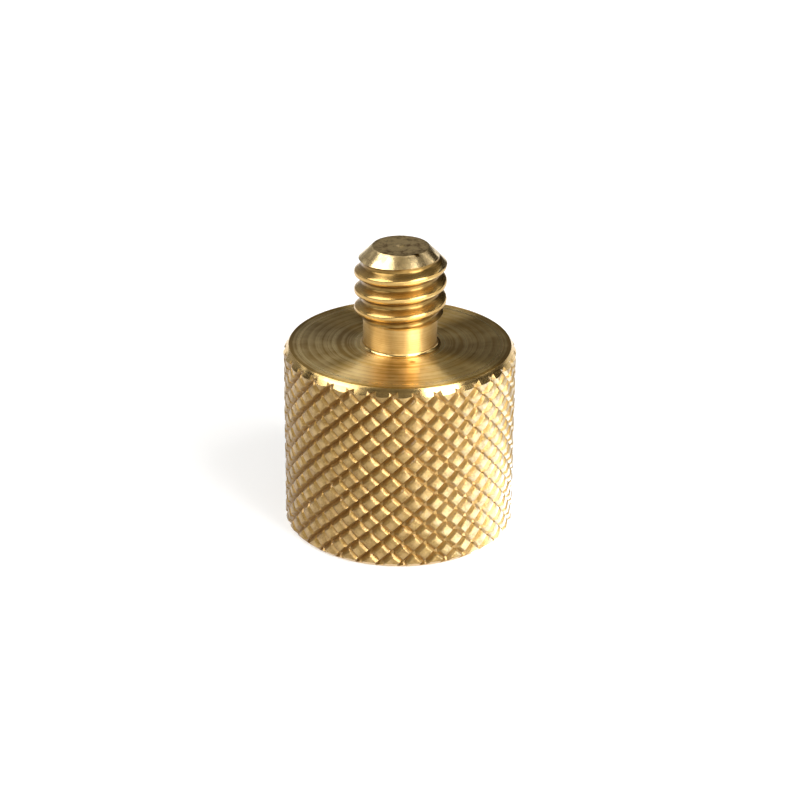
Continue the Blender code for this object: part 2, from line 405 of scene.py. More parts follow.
@dataclass(frozen=True)
class KnurledBarrel:
    """Round body with a crossed knurl, faced at both ends, sizes in millimetres."""

    radius: float = 7.89
    height: float = 13.1
    shoulder_chamfer: Pair = (0.37, 0.55)
    base_chamfer: Pair = (0.37, 0.36)
    edge_round: float = 0.055
    overrun: float = 0.4
    grooves: int = 33
    axial_pitch: float = 1.436
    crossing_degrees: float = 272.2
    crossing_above_shoulder: float = 0.23
    rising_walls: Pair = (0.19, 0.27)
    rising_depth: float = 0.28
    falling_walls: Pair = (0.18, 0.21)
    falling_depth: float = 0.18
    depth_scatter: float = 0.10
    run_in: float = 1.1
    run_in_loss: float = 0.40
    drift: float = 0.045
    crown: float = 0.035
    crown_rise: float = 5.0
    pad_edge: float = 0.02
    pad_tilt: float = 0.090
    pad_sink: float = 0.005
    lip: float = 0.045
    cell_steps: int = 8
    base_rings: tuple[float, ...] = (3.0, 5.6)
    shoulder_rings: tuple[float, ...] = (5.0, 3.2, 1.5)
    rim_ring: float = 0.10
    steps: int = 264
    level_slope: float = 0.12

    def groove_spacing(self) -> float:
        """Distance between neighbouring grooves of one hand, square to them."""
        round_pitch = TAU * self.radius / self.grooves
        return round_pitch * self.axial_pitch / math.hypot(round_pitch, self.axial_pitch)

    def cell_places(self, walls: Pair) -> np.ndarray:
        """Places across one cell of the lattice, drawn together at the lips of its grooves.

        Args:
            walls: Widths of the groove's walls before and after its middle.

        Returns:
            Places as shares of the spacing, from 0 at the groove's middle.
        """
        before, after = (width / self.groove_spacing() for width in walls)
        lip = self.lip / self.groove_spacing()
        near = np.array([0.0, after - lip, after, after + lip])
        far = 1.0 - np.array([before + lip, before, before - lip])
        return np.concatenate([near, [0.5 * (near[-1] + far[0])], far])

    def groove_depth(
        self, place: np.ndarray, walls: Pair, depth: float, seed: Seed
    ) -> np.ndarray:
        """Depth of one hand of grooves at places given in groove numbers.

        Each wall rises in a straight line from the groove's middle to its lip, where a smooth
        limit rounds it into the surface. Each groove's depth differs a little from the next.

        Args:
            place: Place across the grooves, a whole number in the middle of each.
            walls: Widths of the groove's walls before and after its middle.
            depth: Depth in the middle.
            seed: Offset of the scatter between grooves.

        Returns:
            Depth in millimetres.
        """
        number = np.round(place)
        away = (place - number) * self.groove_spacing()
        width = np.where(away < 0.0, walls[0], walls[1])
        scatter = unevenness(np.mod(number, self.grooves), 0.0, seed)
        cut = depth * (1.0 + self.depth_scatter * scatter)
        wall = cut * (1.0 - np.abs(away) / width)
        return smooth_max(wall, 0.0, 0.5 * self.lip * depth / max(walls))

    def wander(self, place: np.ndarray, seed: Seed) -> np.ndarray:
        """Sideways drift of the grooves of one hand, in groove numbers.

        Each groove has its own small offset, and places between two grooves take a share of
        both in a straight line.

        Args:
            place: Place across the grooves, a whole number in the middle of each.
            seed: Offset of the scatter between grooves.

        Returns:
            Drift to add to the place.
        """
        number = np.floor(place)
        here = unevenness(np.mod(number, self.grooves), 1.0, seed)
        after = unevenness(np.mod(number + 1.0, self.grooves), 1.0, seed)
        return self.drift * (here + (after - here) * (place - number))

    def knurl(self) -> Surface:
        """Closed knurled bar, longer than the body, on the lattice of its two hands of grooves.

        Where rising groove A crosses falling groove B, the angle is the first crossing's plus a
        half turn times (A + B) over the count, and the height is the first crossing's plus half
        the pitch times (B - A). The radius is the body's less the deeper of the two grooves,
        and each pad between them is crowned, tilted and set back by its own small scatter. The
        rising grooves lose up to two fifths of their depth in a straight line over the run in
        under the shoulder.

        Returns:
            Closed surface facing out.
        """
        per_cell = self.cell_steps
        half_pitch = self.axial_pitch / 2.0
        lowest = -math.ceil((self.height + self.overrun) / half_pitch) - 1
        highest = math.ceil(self.overrun / half_pitch) + 1
        column = np.arange(self.grooves * per_cell)[:, None]
        row = np.arange(lowest * per_cell, highest * per_cell + 1)[None, :]
        rising_cell, rising_step = np.divmod(column + 0 * row, per_cell)
        falling_cell, falling_step = np.divmod(column + row, per_cell)
        rising = rising_cell + self.cell_places(self.rising_walls)[rising_step]
        falling = falling_cell + self.cell_places(self.falling_walls)[falling_step]
        start = self.height + self.crossing_above_shoulder
        height = start + self.axial_pitch * (falling - rising) / 2.0
        near_shoulder = np.clip(1.0 - (self.height - height) / self.run_in, 0.0, 1.0)
        rising_cut = (1.0 - self.run_in_loss * near_shoulder) * self.groove_depth(
            rising, self.rising_walls, self.rising_depth, Seed.RISING_DEPTH
        )
        falling_cut = self.groove_depth(
            falling, self.falling_walls, self.falling_depth, Seed.FALLING_DEPTH
        )
        pad = np.mod(rising_cell, self.grooves)
        level = falling_cell - rising_cell
        across = rising - rising_cell - 0.5
        along = falling - falling_cell - 0.5
        flat = np.clip(1.0 - rising_cut / self.pad_edge, 0.0, 1.0)
        flat = flat * np.clip(1.0 - falling_cut / self.pad_edge, 0.0, 1.0)
        slump = self.crown * np.clip(self.crown_rise * (across**2 + along**2), 0.0, 1.0)
        tilt = self.pad_tilt * (
            unevenness(pad, level, Seed.TILT_ACROSS) * across
            + unevenness(pad, level, Seed.TILT_ALONG) * along
        )
        sink = self.pad_sink * (1.0 + unevenness(pad, level, Seed.SINK))
        radius = self.radius - np.maximum(rising_cut, falling_cut) - slump - flat * (sink - tilt)
        rising = rising + self.wander(rising, Seed.RISING_DRIFT)
        falling = falling + self.wander(falling, Seed.FALLING_DRIFT)
        angle = math.radians(self.crossing_degrees) + math.pi * (rising + falling) / self.grooves
        height = start + self.axial_pitch * (falling - rising) / 2.0
        places = round_axis(radius, angle, height)
        numbers = np.arange(radius.size).reshape(radius.shape)
        right = np.roll(numbers, -1, axis=0)
        quads = np.stack(
            [numbers[:, 1:-1], right[:, :-2], right[:, 1:-1], numbers[:, 2:]], axis=-1
        ).reshape(-1, 4)
        top_teeth = np.stack([numbers[:, -1], right[:, -2], right[:, -1]], axis=-1)
        low_teeth = np.stack([numbers[:, 0], right[:, 0], numbers[:, 1]], axis=-1)
        points, bottom, top = close_ends(
            places,
            (numbers[::-1, 0], float(height[:, 0].mean())),
            (numbers[:, -1], float(height[:, -1].mean())),
        )
        return Surface.of_region(points, (quads, top_teeth, low_teeth, bottom, top), Region.KNURL)

    def envelope(self) -> Surface:
        """Turned envelope that faces both ends and chamfers their corners.

        Its edges are just rounded. A run of the profile is part of a faced end where its rise
        is a small share of its length, and part of a chamfer otherwise.

        Returns:
            Closed surface facing out.
        """
        top_width, top_drop = self.shoulder_chamfer
        low_width, low_rise = self.base_chamfer
        outer = self.radius + self.overrun
        rim_top, rim_low = self.radius - top_width, self.radius - low_width
        low_rings = (0.0, *self.base_rings, rim_low - self.rim_ring)
        top_rings = (rim_top - self.rim_ring, *self.shoulder_rings, 0.0)
        corners = [
            *((radius, 0.0, 0.0) for radius in low_rings),
            (rim_low, 0.0, self.edge_round),
            (outer, low_rise * (outer - rim_low) / low_width, 0.0),
            (outer, self.height - top_drop * (outer - rim_top) / top_width, 0.0),
            (rim_top, self.height, self.edge_round),
            *((radius, self.height, 0.0) for radius in top_rings),
        ]
        profile = rounded_profile(corners)
        run = np.diff(profile, axis=0)
        level = np.abs(run[:, 1]) < self.level_slope * np.hypot(run[:, 0], run[:, 1])
        return lathe(profile, self.steps, np.where(level, int(Region.FACE), int(Region.CHAMFER)))

    def build(self, finishes: Finishes) -> bpy.types.Object:
        """Make the knurled body, without its stud and socket, in the given finishes."""
        body = self.knurl().to_object("knurled_barrel", finishes)
        return combine(body, self.envelope().to_object("envelope", finishes), Operation.KEEP)


@dataclass(frozen=True)
class CameraStud:
    """Threaded stud above the shoulder with a plain neck under its thread, in millimetres.

    The tip's face inside its rim is a list of radius, height above the stud's end and rounding:
    a shallow dish with the pip that the cutting-off tool leaves in its middle.
    """

    shoulder: float = 13.1
    length: float = 7.0
    tip_chamfer: float = 1.215
    tip_round: float = 0.07
    tip_rim: Pair = (0.14, 0.005)
    tip_face: tuple[Spot, ...] = (
        (0.9, -0.02, 0.0),
        (0.30, -0.03, 0.05),
        (0.17, 0.03, 0.05),
        (0.08, 0.05, 0.0),
        (0.0, 0.05, 0.0),
    )
    neck_radius: float = 2.5
    neck_length: float = 1.9
    neck_fillet: float = 0.25
    fillet_points: int = 9
    neck_ring: float = 0.9
    overrun: float = 0.4
    thread: ThreadForm = ThreadForm(
        radius=3.115,
        pitch=1.27,
        crest_height=13.1 + 4.53,
        region=Region.THREAD,
        crest_share=0.25,
        root_share=0.24,
        crest_blend=0.10,
    )

    def neck(self) -> Surface:
        """Plain neck whose foot is filleted into the shoulder by a quarter circle.

        Returns:
            Closed surface facing out.
        """
        turn = np.linspace(0.0, math.pi / 2.0, self.fillet_points)
        radius = self.neck_radius + self.neck_fillet * (1.0 - np.sin(turn))
        height = self.shoulder + self.neck_fillet * (1.0 - np.cos(turn))
        foot = self.neck_radius + self.neck_fillet
        bottom, top = self.shoulder - self.overrun, self.shoulder + self.neck_length
        profile = np.concatenate(
            [
                [[0.0, bottom], [foot, bottom]],
                np.stack([radius, height], axis=-1),
                [[self.neck_radius, top - self.neck_ring], [self.neck_radius, top], [0.0, top]],
            ]
        )
        regions = np.full(len(profile) - 1, int(Region.NECK))
        regions[2 : 1 + len(turn)] = int(Region.CHAMFER)
        return lathe(profile, self.thread.steps, regions)

    def envelope(self) -> Surface:
        """Turned envelope of the thread, with a lead at its foot, a chamfered tip and a pip.

        Returns:
            Closed surface facing out.
        """
        top = self.shoulder + self.length
        foot = self.shoulder + self.neck_length
        outer = self.thread.radius + self.overrun
        tip = self.thread.radius - self.tip_chamfer
        corners = [
            (0.0, foot - self.overrun, 0.0),
            (self.neck_radius - self.overrun, foot - self.overrun, 0.0),
            (outer, foot + outer - self.neck_radius, 0.0),
            (outer, top - (outer - tip), 0.0),
            (tip, top, self.tip_round),
            (tip - self.tip_rim[0], top - self.tip_rim[1], 0.0),
            *((radius, top + rise, rounding) for radius, rise, rounding in self.tip_face),
        ]
        return lathe(rounded_profile(corners), self.thread.steps, Region.TIP)

    def build(self, finishes: Finishes) -> bpy.types.Object:
        """Make the stud with its neck.

        Args:
            finishes: Materials in the order of the regions.

        Returns:
            The stud.
        """
        low = self.shoulder + self.neck_length - self.overrun
        rod = self.thread.rod(low, self.shoulder + self.length + 0.1)
        stud = rod.to_object("camera_stud", finishes)
        combine(stud, self.envelope().to_object("stud_envelope", finishes), Operation.KEEP)
        return combine(stud, self.neck().to_object("neck", finishes), Operation.ADD)


@dataclass(frozen=True)
class TripodSocket:
    """Drilled and tapped socket in the base, in millimetres."""

    drill_radius: float = 3.97
    drill_depth: float = 8.915
    point_degrees: float = 118.0
    mouth_radius: float = 5.0
    thread_depth: float = 7.3
    run_out: float = 1.3
    overrun: float = 0.4
    thread: ThreadForm = ThreadForm(4.7625, 1.5875, 1.0, Region.SOCKET, steps=72)

    def drill(self) -> Surface:
        """Countersunk hole with the cone that a drill's point leaves.

        Returns:
            Closed surface facing out.
        """
        point = self.drill_radius / math.tan(math.radians(self.point_degrees / 2.0))
        profile = [
            [0.0, -self.overrun],
            [self.mouth_radius + self.overrun, -self.overrun],
            [self.drill_radius, self.mouth_radius - self.drill_radius],
            [self.drill_radius, self.drill_depth],
            [self.drill_radius * 0.5, self.drill_depth + point * 0.5],
            [0.0, self.drill_depth + point],
        ]
        return lathe(np.array(profile), self.thread.steps, Region.SOCKET)

    def tap(self) -> Surface:
        """Envelope of the tap, whose end tapers to less than the drilled hole.

        Returns:
            Closed surface facing out.
        """
        outer = self.thread.radius + self.overrun
        inner = self.drill_radius - self.overrun
        end = self.thread_depth + self.thread.radius - inner
        profile = [
            [0.0, -self.overrun],
            [outer, -self.overrun],
            [outer, end - (outer - inner)],
            [inner, end],
            [0.0, end],
        ]
        return lathe(np.array(profile), self.thread.steps, Region.SOCKET)

    def cut(self, body: bpy.types.Object, finishes: Finishes) -> None:
        """Drill and tap the body.

        Args:
            body: Object to cut.
            finishes: Materials in the order of the regions.
        """
        rod = self.thread.rod(-self.overrun, self.thread_depth + self.run_out)
        tap = rod.to_object("tap", finishes)
        combine(tap, self.tap().to_object("tap_envelope", finishes), Operation.KEEP)
        combine(body, self.drill().to_object("drill", finishes), Operation.CUT)
        combine(body, tap, Operation.CUT)


@dataclass
class NodeSheet:
    """Node tree of one material or of the world, filled node by node."""

    tree: bpy.types.NodeTree

    def add(
        self,
        kind: str,
        settings: dict[str, Setting] | None = None,
        inputs: dict[str | int, Setting] | None = None,
    ) -> bpy.types.Node:
        """Add a node with its settings, its values and the links into it.

        Args:
            kind: Blender's name of the node's type.
            settings: Properties of the node.
            inputs: Value of each input, or the output that is linked to it.

        Returns:
            The new node.
        """
        node = self.tree.nodes.new(kind)
        for name, value in (settings or {}).items():
            setattr(node, name, value)
        for name, value in (inputs or {}).items():
            if isinstance(value, bpy.types.NodeSocket):
                self.tree.links.new(value, node.inputs[name])
            else:
                node.inputs[name].default_value = value
        return node

    def sum(self, operation: str, *values: Setting) -> Link:
        """Result of a Math node on up to three values."""
        inputs = dict(enumerate(values))
        return self.add("ShaderNodeMath", {"operation": operation}, inputs).outputs[0]

    def vector(self, operation: str, *values: Setting, output: int = 0) -> Link:
        """Result of a Vector Math node: output 0 is a vector and output 1 a number."""
        inputs = dict(enumerate(values))
        return self.add("ShaderNodeVectorMath", {"operation": operation}, inputs).outputs[output]

    def spread(self, value: Link, low: float, high: float, to_low: float, to_high: float) -> Link:
        """Value carried from one range to another and kept inside it."""
        inputs = {0: value, 1: low, 2: high, 3: to_low, 4: to_high}
        return self.add("ShaderNodeMapRange", {"clamp": True}, inputs).outputs[0]

    def swing(self, noise: Link, reach: Pair, middle: float, swing: Pair) -> Link:
        """Value from the middle less one swing to it plus the other, as noise crosses a reach."""
        return self.spread(noise, *reach, middle - swing[0], middle + swing[1])

    def weigh(self, first: Link, share: float, second: Link, rest: float) -> Link:
        """First value times its share plus the second times the rest."""
        return self.sum("MULTIPLY_ADD", first, share, self.sum("MULTIPLY", second, rest))

    def blend(self, share: Setting, first: Setting, second: Setting) -> Link:
        """Mix of two colours."""
        node = self.add("ShaderNodeMix", {"data_type": "RGBA"}, {0: share, 6: first, 7: second})
        return node.outputs[2]

    def shade(
        self, value: Link, low: float, high: float, first: str, second: str, most: float = 1.0
    ) -> Link:
        """Colour that turns from one hex colour to the second as the value crosses a range."""
        return self.blend(self.spread(value, low, high, 0.0, most), srgb(first), srgb(second))

    def place(self) -> tuple[Link, Link, Link]:
        """Place on the object in millimetres.

        Returns:
            The whole vector, the distance from the axis and the height.
        """
        source = self.add("ShaderNodeTexCoord").outputs["Object"]
        vector = self.vector("MULTIPLY", source, (1.0 / METRES_PER_MM,) * 3)
        radius = self.vector("LENGTH", self.vector("MULTIPLY", vector, LEVEL), output=1)
        height = self.add("ShaderNodeSeparateXYZ", inputs={0: vector}).outputs[2]
        return vector, radius, height

    def grain(self, place: Link, size: float, detail: float = 2.0, flat: bool = False) -> Link:
        """Noise whose features are about one size in millimetres.

        Args:
            place: Place in space, or along a line.
            size: Size of the features.
            detail: Octaves of finer noise.
            flat: Whether the place is one number along a line.

        Returns:
            Noise about the middle of 0 to 1.
        """
        kind = {"noise_dimensions": "1D" if flat else "3D"}
        where = {"W" if flat else "Vector": place}
        inputs = {**where, "Scale": 1.0 / size, "Detail": detail, "Roughness": 0.6}
        return self.add("ShaderNodeTexNoise", kind, inputs).outputs[0]

    def spot(self, place: Link, middle: Spot, reach: Spot) -> Link:
        """Share that falls from 1 to 0 over the outer half of an oval mark's reach."""
        scaled = self.vector("DIVIDE", self.vector("SUBTRACT", place, middle), reach)
        return self.spread(self.vector("LENGTH", scaled, output=1), 0.5, 1.0, 1.0, 0.0)

    def leaning(self, slope: float) -> Link:
        """Normal turned away from the axis by a slope.

        The place without its height is brought to length one, taken times the slope and added
        to the normal.

        Args:
            slope: Tangent of the lean.

        Returns:
            Direction of length one.
        """
        source = self.add("ShaderNodeTexCoord").outputs["Object"]
        normal = self.add("ShaderNodeNewGeometry").outputs["Normal"]
        away = self.vector("NORMALIZE", self.vector("MULTIPLY", source, LEVEL))
        return self.vector("NORMALIZE", self.vector("MULTIPLY_ADD", away, (slope,) * 3, normal))

    def across_marks(self, vector: Link) -> Link:
        """Direction across the turning marks, along which they spread the gloss.

        The marks run round the axis, along the axis crossed with the place. The normal crossed
        with that direction runs along the turned profile, square to the marks.

        Args:
            vector: Place on the object.

        Returns:
            Direction of length one.
        """
        normal = self.add("ShaderNodeNewGeometry").outputs["Normal"]
        marks = self.vector("CROSS_PRODUCT", AXIS, vector)
        return self.vector("NORMALIZE", self.vector("CROSS_PRODUCT", normal, marks))

    def gloss(self, vector: Link, anisotropy: float) -> dict[str, Setting]:
        """Shader inputs that spread the gloss across the turning marks."""
        return {"Anisotropic": anisotropy, "Tangent": self.across_marks(vector)}


def new_material(name: str) -> tuple[bpy.types.Material, NodeSheet]:
    """Make an empty node material.

    Args:
        name: Name of the finish.

    Returns:
        The material and the sheet of its nodes.
    """
    material = bpy.data.materials.new(name)
    material.use_nodes = True
    material.node_tree.nodes.clear()
    return material, NodeSheet(material.node_tree)


def close_brass(
    sheet: NodeSheet,
    colour: Link,
    roughness: Link,
    bump: Link,
    depth: float,
    more: dict[str, Setting] | None = None,
    lean: float = 0.0,
) -> None:
    """End a brass sheet with its metal shader.

    Args:
        sheet: Nodes of the material.
        colour: Colour of the metal.
        roughness: Roughness.
        bump: Height of the surface marks, from 0 to 1.
        depth: Depth of the marks in millimetres.
        more: Further inputs of the shader.
        lean: Slope by which the marks' wider sides face away from the axis.
    """
    inputs = {"Height": bump, "Distance": depth * METRES_PER_MM, "Strength": 1.0}
    if lean:
        inputs["Normal"] = sheet.leaning(lean)
    relief = sheet.add("ShaderNodeBump", inputs=inputs).outputs[0]
    inputs = {"Base Color": colour, "Metallic": 1.0, "Roughness": roughness, "Normal": relief}
    shader = sheet.add("ShaderNodeBsdfPrincipled", inputs={**inputs, **(more or {})})
    sheet.add("ShaderNodeOutputMaterial", inputs={"Surface": shader.outputs[0]})


@dataclass(frozen=True)
class KnurlFinish:
    """Pressed and lacquered knurl: duller brass, bright at its lips, with painted shade and some
    grime in its grooves.
    """

    name: str = "brass_pressed_knurl"
    pad: str = "#A4864E"
    worn: str = "#CCAE76"
    # colour deep in the grooves: painted shade with some grime
    groove: str = "#9E7D46"
    stain: str = "#866838"
    radius: float = 7.89
    roughness: float = 0.40
    lacquer: float = 0.55
    lacquer_roughness: float = 0.10
    patch: float = 1.6
    speck: float = 0.13
    tone: Pair = (0.42, 0.62)
    most_stain: float = 0.9
    lip_reach: float = 0.022
    lip_wear: float = 0.5
    groove_shade_reach: Pair = (0.06, 0.20)
    swing: Pair = (0.05, 0.09)
    relief: float = 0.020

    def material(self) -> bpy.types.Material:
        """Darken the metal with depth under the pads as painted shade with some grime, so that the
        diamonds stand out.

        Returns:
            The finish.
        """
        material, sheet = new_material(self.name)
        vector, radius, _ = sheet.place()
        depth = sheet.sum("SUBTRACT", self.radius, radius)
        patches = sheet.grain(vector, self.patch, 3.0)
        specks = sheet.grain(vector, self.speck, 2.0)
        tone = sheet.weigh(specks, 0.6, patches, 0.4)
        colour = sheet.shade(tone, *self.tone, self.pad, self.stain, self.most_stain)
        lip = sheet.spread(depth, 0.0, self.lip_reach, self.lip_wear, 0.0)
        colour = sheet.blend(lip, colour, srgb(self.worn))
        # painted shade with some grime: the colour darkens with depth into the grooves
        groove_shade = sheet.spread(depth, *self.groove_shade_reach, 0.0, 1.0)
        colour = sheet.blend(groove_shade, colour, srgb(self.groove))
        rough = sheet.swing(specks, WIDE_NOISE, self.roughness, self.swing)
        coat = {"Coat Weight": self.lacquer, "Coat Roughness": self.lacquer_roughness}
        close_brass(sheet, colour, rough, specks, self.relief, coat)
        return material


@dataclass(frozen=True)
class FaceFinish:
    """Faced end: fine rings left by the tool, gloss that fans out, painted shade towards the back.
    """

    name: str = "brass_faced_end"
    bright: str = "#FFE2A2"
    dull: str = "#C8A258"
    # colour that the back of the face darkens to: painted shade
    back_shade: str = "#7C6640"
    most_back_shade: float = 0.45
    back_shade_reach: Pair = (0.5, 5.5)
    roughness: float = 0.31
    feed: float = 0.085
    band: float = 0.55
    patch: float = 2.2
    waver: float = 0.10
    waver_size: float = 3.0
    tone: Pair = (0.42, 0.58)
    swing: Pair = (0.05, 0.08)
    anisotropy: float = 1.0
    lean: float = 0.06
    relief: float = 0.010
    nick: str = "#A87C34"
    nick_place: Spot = (0.84, -3.25, 13.1)
    nick_reach: Spot = (0.27, 0.22, 0.4)

    def material(self) -> bpy.types.Material:
        """Run rings of tone and relief round the axis at the tool's feed.

        The painted shade towards the back follows the place from front to back plus three times a
        patchy noise.

        Returns:
            The finish.
        """
        material, sheet = new_material(self.name)
        vector, radius, _ = sheet.place()
        waver = sheet.grain(vector, self.waver_size, 2.0)
        path = sheet.sum("MULTIPLY_ADD", waver, self.waver, radius)
        fine = sheet.grain(path, self.feed, 2.0, flat=True)
        bands = sheet.grain(path, self.band, 3.0, flat=True)
        patches = sheet.grain(vector, self.patch, 3.0)
        tone = sheet.weigh(bands, 0.6, patches, 0.4)
        colour = sheet.shade(tone, *self.tone, self.bright, self.dull)
        # painted shade: the colour darkens towards the back of the face, broken up by patchy noise
        behind = sheet.add("ShaderNodeSeparateXYZ", inputs={0: vector}).outputs[1]
        back = sheet.sum("MULTIPLY_ADD", patches, 3.0, behind)
        back_shade_share = sheet.spread(back, *self.back_shade_reach, 0.0, self.most_back_shade)
        colour = sheet.blend(back_shade_share, colour, srgb(self.back_shade))
        nick = sheet.spot(vector, self.nick_place, self.nick_reach)
        colour = sheet.blend(nick, colour, srgb(self.nick))
        rough = sheet.swing(bands, WIDE_NOISE, self.roughness, self.swing)
        marks = sheet.weigh(bands, 0.7, fine, 0.3)
        gloss = sheet.gloss(vector, self.anisotropy)
        close_brass(sheet, colour, rough, marks, self.relief, gloss, self.lean)
        return material


@dataclass(frozen=True)
class TipFinish:
    """Tip of the stud: cut off and chamfered, then dulled and marked by use."""

    name: str = "brass_worn_tip"
    bright: str = "#F4DAA4"
    dull: str = "#64482A"
    roughness: float = 0.20
    dull_roughness: float = 0.34
    end_roughness: float = 0.18
    rim: Pair = (1.75, 2.0)
    rim_share: float = 0.6
    mark: float = 0.66
    mark_range: Pair = (0.40, 0.62)
    mark_share: Pair = (-0.1, 0.9)
    dent: float = 0.60
    relief: float = 0.012
    nick: str = "#4A3410"
    nick_place: Spot = (1.02, -1.60, 20.05)
    nick_reach: Spot = (0.34, 0.18, 0.25)

    def material(self) -> bpy.types.Material:
        """Mottle the metal with dull marks and shallow dents, strongest inside the rim.

        Returns:
            The finish.
        """
        material, sheet = new_material(self.name)
        vector, radius, _ = sheet.place()
        marks = sheet.grain(vector, self.mark, 4.0)
        marks = sheet.spread(marks, *self.mark_range, *self.mark_share)
        inner = sheet.spread(radius, *self.rim, 1.0, self.rim_share)
        tone = sheet.sum("MULTIPLY", marks, inner)
        colour = sheet.blend(tone, srgb(self.bright), srgb(self.dull))
        nick = sheet.spot(vector, self.nick_place, self.nick_reach)
        colour = sheet.blend(nick, colour, srgb(self.nick))
        flat = sheet.spread(radius, *self.rim, self.end_roughness, 0.0)
        worn = sheet.spread(tone, 0.0, 1.0, self.roughness, self.dull_roughness)
        dents = sheet.sum("MULTIPLY", sheet.grain(vector, self.dent, 2.0), inner)
        close_brass(sheet, colour, sheet.sum("ADD", flat, worn), dents, self.relief)
        return material


@dataclass(frozen=True)
class TurnedFinish:
    """Turned wall: fine rings round the axis, stacked along the height."""

    name: str
    bright: str
    dull: str
    roughness: float
    feed: float = 0.06
    patch: float = 0.9
    tone: Pair = (0.38, 0.64)
    swing: Pair = (0.04, 0.06)
    anisotropy: float = 0.5
    relief: float = 0.004

    def material(self) -> bpy.types.Material:
        """Run rings of tone and relief round the axis, spaced along the height.

        Returns:
            The finish.
        """
        material, sheet = new_material(self.name)
        vector, radius, height = sheet.place()
        path = sheet.sum("ADD", height, sheet.sum("MULTIPLY", radius, 0.6))
        fine = sheet.grain(path, self.feed, 2.0, flat=True)
        patches = sheet.grain(vector, self.patch, 3.0)
        tone = sheet.weigh(fine, 0.5, patches, 0.5)
        colour = sheet.shade(tone, *self.tone, self.bright, self.dull)
        rough = sheet.swing(tone, NARROW_NOISE, self.roughness, self.swing)
        gloss = sheet.gloss(vector, self.anisotropy)
        close_brass(sheet, colour, rough, fine, self.relief, gloss)
        return material


@dataclass(frozen=True)
class ThreadFinish:
    """Cut thread: burnished crests and duller roots, with painted shade darkening the roots."""

    name: str
    crest_radius: float
    root_radius: float
    crest: str = "#C8A464"
    # colour at the root: painted shade
    root: str = "#5C4216"
    roughness: float = 0.25
    anisotropy: float = 0.6
    root_roughness: float = 0.30
    feed: float = 0.05
    patch: float = 0.7
    tone: Pair = (0.15, 0.95)
    relief: float = 0.003

    def material(self) -> bpy.types.Material:
        """Paint shade into the metal from the crest towards the root, with fine marks along the
        helix.

        Returns:
            The finish.
        """
        material, sheet = new_material(self.name)
        vector, radius, height = sheet.place()
        low, high = sorted((self.root_radius, self.crest_radius))
        ends = (0.0, 1.0) if self.crest_radius > self.root_radius else (1.0, 0.0)
        share = sheet.spread(radius, low, high, *ends)
        path = sheet.sum("MULTIPLY_ADD", radius, 1.4, height)
        fine = sheet.grain(path, self.feed, 2.0, flat=True)
        patches = sheet.grain(vector, self.patch, 3.0)
        tone = sheet.weigh(patches, 0.5, share, 0.9)
        # painted shade: the colour darkens from the crest towards the root
        colour = sheet.shade(tone, *self.tone, self.root, self.crest)
        rough = sheet.spread(share, 0.0, 1.0, self.root_roughness, self.roughness)
        gloss = sheet.gloss(vector, self.anisotropy)
        close_brass(sheet, colour, rough, fine, self.relief, gloss)
        return material


def read_values(
    items: bpy.types.bpy_prop_collection, name: str, kind: type = np.int32
) -> np.ndarray:
    """Read one property of all the items of a mesh.

    Args:
        items: Corners, faces or attribute values.
        name: Name of the property.
        kind: Type of its values.

    Returns:
        One value for each item.
    """
    values = np.zeros(len(items), dtype=kind)
    items.foreach_get(name, values)
    return values


@dataclass(frozen=True)
class ThreadAdapter:
    """The whole adapter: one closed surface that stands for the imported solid."""

    barrel: KnurledBarrel = KnurledBarrel()
    stud: CameraStud = CameraStud()
    socket: TripodSocket = TripodSocket()
    sharp_degrees: float = 33.0

    def finishes(self) -> Finishes:
        """Materials in the order of the regions."""
        finishes = (
            KnurlFinish(),
            FaceFinish(),
            TurnedFinish(
                "brass_bright_chamfer", "#E6C688", "#CFAD6E", 0.17, feed=0.15, relief=0.0015
            ),
            TurnedFinish("brass_turned_neck", "#DEC082", "#CAA462", 0.52, anisotropy=0.9),
            ThreadFinish("brass_cut_thread", 3.115, 2.43),
            ThreadFinish("brass_tapped_socket", 3.97, 4.76),
            TipFinish(),
        )
        return [finish.material() for finish in finishes]

    def crease_knurl(self, mesh: bpy.types.Mesh) -> None:
        """Keep the edges sharp where the knurl meets another region.

        For each edge, the lowest and highest region of its faces are found. The edge is sharp
        where they differ and the lowest is the knurl.

        Args:
            mesh: Mesh of the joined piece.
        """
        edge_of = read_values(mesh.loops, "edge_index")
        sides = read_values(mesh.polygons, "loop_total")
        around = np.repeat(read_values(mesh.polygons, "material_index"), sides)
        lowest = np.full(len(mesh.edges), len(Region), dtype=np.int32)
        highest = np.zeros(len(mesh.edges), dtype=np.int32)
        np.minimum.at(lowest, edge_of, around)
        np.maximum.at(highest, edge_of, around)
        marks = mesh.attributes.get("sharp_edge").data
        sharp = read_values(marks, "value", bool)
        sharp |= (lowest == int(Region.KNURL)) & (highest > lowest)
        marks.foreach_set("value", sharp)

    def build(self) -> bpy.types.Object:
        """Join the barrel, stud and socket, smooth their curved walls and name the piece.

        Returns:
            The finished piece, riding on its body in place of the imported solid.
        """
        finishes = self.finishes()
        piece = self.barrel.build(finishes)
        LOG.info("barrel: %d faces", len(piece.data.polygons))
        combine(piece, self.stud.build(finishes), Operation.ADD)
        LOG.info("with stud: %d faces", len(piece.data.polygons))
        self.socket.cut(piece, finishes)
        mesh = piece.data
        close_slivers(mesh)
        mesh.shade_smooth()
        mesh.set_sharp_from_angle(angle=math.radians(self.sharp_degrees))
        self.crease_knurl(mesh)
        mesh.update()
        piece.name = mesh.name = "thread_adapter_brass"
        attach(piece, BODY)
        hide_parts(NODE)
        LOG.info("adapter: %d faces, %d points", len(mesh.polygons), len(mesh.vertices))
        return piece


